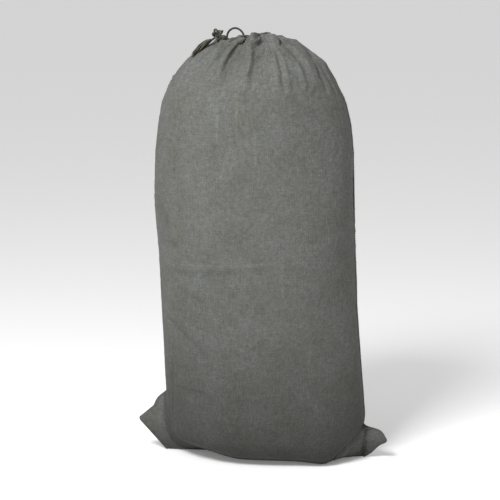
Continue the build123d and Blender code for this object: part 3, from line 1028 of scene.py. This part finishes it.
# The two cord ends and the brush of yarns that they fray into
TAIL = [(-0.0889, -0.0250, 0.7732), (-0.0950, -0.0246, 0.7705), (-0.1010, -0.0241, 0.7670),
        (-0.1085, -0.0232, 0.7607), (-0.1155, -0.0222, 0.7530)]
BRUSH_TIP = (-0.1265, -0.0205, 0.7405)
YARNS, STRAYS = 330, 7
YARN_STEPS = 9
YARN_TONES, TONE_SHARES = (0.0, 0.12, 0.3, 0.9), (0.5, 0.27, 0.15, 0.08)  # a few are faded pale
random = np.random.default_rng(11)
for word, shift in (("a", -0.0021), ("b", 0.0021)):
    points = [(x, y + shift, z) for x, y, z in TAIL]
    path = route(points)
    end = build(f"cord_end_{word}", [tube(path, CORD_RADIUS, 12, 0.2)])
    finish_piece(end, "cord_tail", "cord", CORD, "cord_ends")


def yarn(line, thickness, tone):
    """One loose yarn, thinner towards its tip."""
    return tube(line, np.linspace(thickness, thickness * 0.6, len(line)), 5, tone)


def brush_yarns():
    """Loose yarns, bound at the knot and spreading to an uneven tip, then a few strays."""
    core = route(TAIL + [BRUSH_TIP])
    made = []
    share = np.linspace(0, 1, YARN_STEPS)
    for _ in range(YARNS):
        first, last = random.uniform(0.05, 0.16), random.uniform(0.84, 1.0)
        marks = np.linspace(first, last, YARN_STEPS) * (len(core) - 1)
        line = picked(core, np.arange(len(core)), marks)
        angle, reach = random.uniform(0, 2 * math.pi), math.sqrt(random.uniform(0, 1))
        spread = (0.0024 + 0.0031 * np.sin(np.minimum(share * 3.4, 1.9))) * reach
        twist = angle + 0.9 * share
        line += np.column_stack([
            -0.65 * np.sin(twist) * spread, 1.10 * np.cos(twist) * spread, 0.75 * np.sin(twist) * spread])
        line += random.normal(0, 0.00032, (YARN_STEPS, 3)).cumsum(axis=0) * share[:, None]
        thickness = random.uniform(0.00038, 0.00055)
        made.append(yarn(line, thickness, random.choice(YARN_TONES, p=TONE_SHARES)))
    for _ in range(STRAYS):
        p = core[int(random.uniform(0.5, 0.85) * (len(core) - 1))]
        p = p + np.array((0, random.uniform(-0.004, 0.003), 0.004))
        away = np.array((-random.uniform(0.005, 0.009), random.uniform(-0.003, 0.003),
                         random.uniform(-0.001, 0.003)))
        line = p + away * share[:, None] + np.array((0, 0, -0.005)) * share[:, None] ** 2
        line += random.normal(0, 0.0002, line.shape).cumsum(axis=0)
        made.append(yarn(line, 0.00034, random.choice((0.2, 1.0))))
    return made


brush = build("frayed_yarns", brush_yarns())
finish_piece(brush, "cord_tail", "frayed_cord", YARN, "frayed_ends")

# Buttonholes: a ring of thread where each foot of the loop comes out of the rolled hem
EYELET_RINGS = ((0.0024, 0.0), (0.0031, -0.0006))  # radius, and height over the hem's crest
EYELET_REACH = 0.006  # how near a foot the crest is looked for
eyelets = []
crest = rolled[len(skin):].reshape(-1, 3)
angles = np.linspace(0, 2 * math.pi, 25)
for x, y in FEET:
    near = crest[np.hypot(crest[:, 0] - x, crest[:, 1] - y) < EYELET_REACH]
    height = float(near[:, 2].max()) if len(near) else PIVOT_HEIGHT
    for step, lift in EYELET_RINGS:
        ring = np.column_stack([x + step * np.cos(angles), y + step * np.sin(angles),
                                np.full(len(angles), height + lift)])
        eyelets.append(tube(ring, 0.0006, 6))
finish_piece(build("buttonhole_thread", eyelets), "bag", "thread", THREAD, "cord_buttonholes")


# Floor, light and camera
FLOOR_REACH = 40
floor = link("floor", bpy.data.meshes.new("floor"))
floor_corners = [(x * FLOOR_REACH, y * FLOOR_REACH, 0) for x, y in ((-1, -1), (1, -1), (1, 1), (-1, 1))]
floor.data.from_pydata(floor_corners, [], [(0, 1, 2, 3)])
floor.data.materials.append(pale_floor())

world = bpy.data.worlds.new("studio")
world.use_nodes = True
world.node_tree.nodes["Background"].inputs["Color"].default_value = (1, 1, 1, 1)
world.node_tree.nodes["Background"].inputs["Strength"].default_value = 0.55
scene.world = world


def area_light(name, place, target, size, power):
    """A soft square light pointed at a target."""
    data = bpy.data.lights.new(name, "AREA")
    data.size, data.energy = size, power
    obj = link(name, data)
    obj.location = place
    obj.rotation_euler = (Vector(target) - Vector(place)).to_track_quat("-Z", "Y").to_euler()


area_light("key", place=(-0.64, -1.78, 2.18), target=(0, 0, 0.66), size=0.8, power=73)

DISTANCE, EYE_HEIGHT, YAW = 3.5, 1.0, math.radians(8)
AIM_SIDE, AIM_HEIGHT, VIEW_ANGLE = -0.025, 0.386, math.radians(14.75)
camera_data = bpy.data.cameras.new("camera")
camera = link("camera", camera_data)
scene.camera = camera
camera.location = (DISTANCE * math.sin(YAW), -DISTANCE * math.cos(YAW), EYE_HEIGHT)
aim = Vector((AIM_SIDE * math.cos(YAW), AIM_SIDE * math.sin(YAW), AIM_HEIGHT))
camera.rotation_euler = (aim - camera.location).to_track_quat("-Z", "Y").to_euler()
camera_data.sensor_width = 36
camera_data.lens = camera_data.sensor_width / (2 * math.tan(VIEW_ANGLE / 2))
scene.view_settings.view_transform = "Standard"
